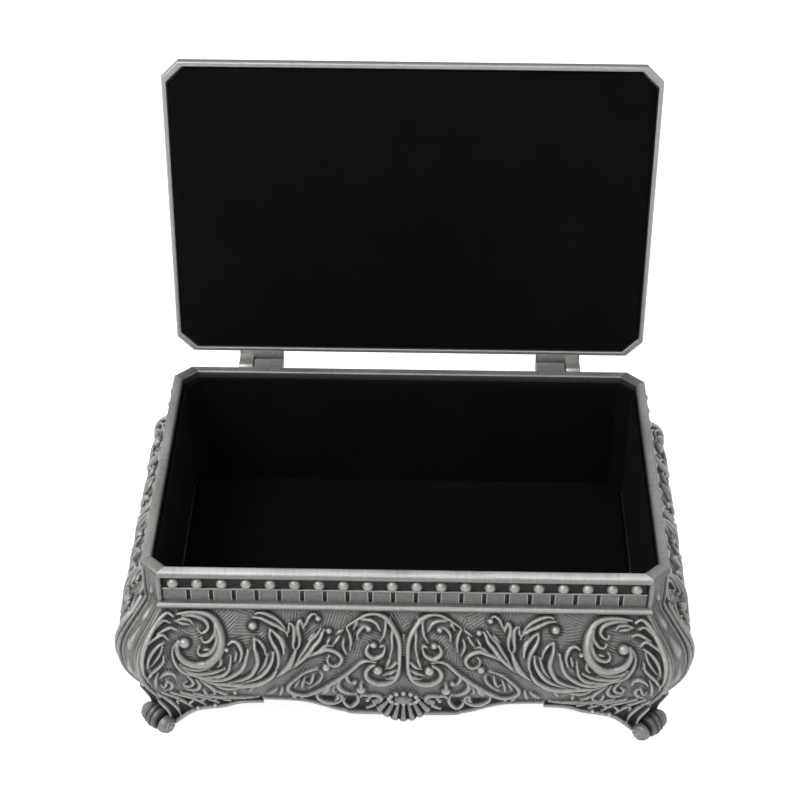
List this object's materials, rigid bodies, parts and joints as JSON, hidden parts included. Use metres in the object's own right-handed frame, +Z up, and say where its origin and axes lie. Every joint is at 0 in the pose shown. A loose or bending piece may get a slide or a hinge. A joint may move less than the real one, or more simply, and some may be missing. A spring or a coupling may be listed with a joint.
{
  "type": "metal trinket box",
  "caption": "Cast metal trinket box with swelling acanthus sides, scroll feet, a hinged lid and a black velvet lining.",
  "frame": {"origin": "on the floor under the feet, at the middle of the outline that the box with its open lid covers in plan", "axes": "+X to the right along the box as seen from the front, +Y to the back where the hinges are, +Z up"},
  "size_m": [0.165, 0.1283, 0.1603],
  "materials": {
    "antiqued_metal": "antique pewter grey zinc casting, polished high points over a dark patina",
    "pin_steel": "plain drawn steel",
    "black_velvet": "short pile black velvet",
    "black_felt": "thin pressed felt",
    "grey_card": "grey card, hidden behind the velvet"
  },
  "bodies": {
    "box": {"front_wall": "antiqued_metal", "back_wall": "antiqued_metal", "left_wall": "antiqued_metal", "right_wall": "antiqued_metal", "foot_front_left": "antiqued_metal", "foot_front_right": "antiqued_metal", "foot_back_left": "antiqued_metal", "foot_back_right": "antiqued_metal", "bottom_plate": "pin_steel", "base_felt": "black_felt", "floor_pad": "black_velvet", "front_lining": "black_velvet", "back_lining": "black_velvet", "left_lining": "black_velvet", "right_lining": "black_velvet", "hinge_pin_left": "pin_steel", "hinge_pin_right": "pin_steel"},
    "lid": {"lid_casting": "antiqued_metal", "lid_board": "grey_card", "lid_velvet": "black_velvet"}
  },
  "joints": [
    {"name": "lid_hinge", "type": "hinge", "parent": "box", "child": "lid", "pos_m": [0, 0.04682, 0.0584], "axis": [1, 0, 0], "range_deg": [0, 94]}
  ]
}
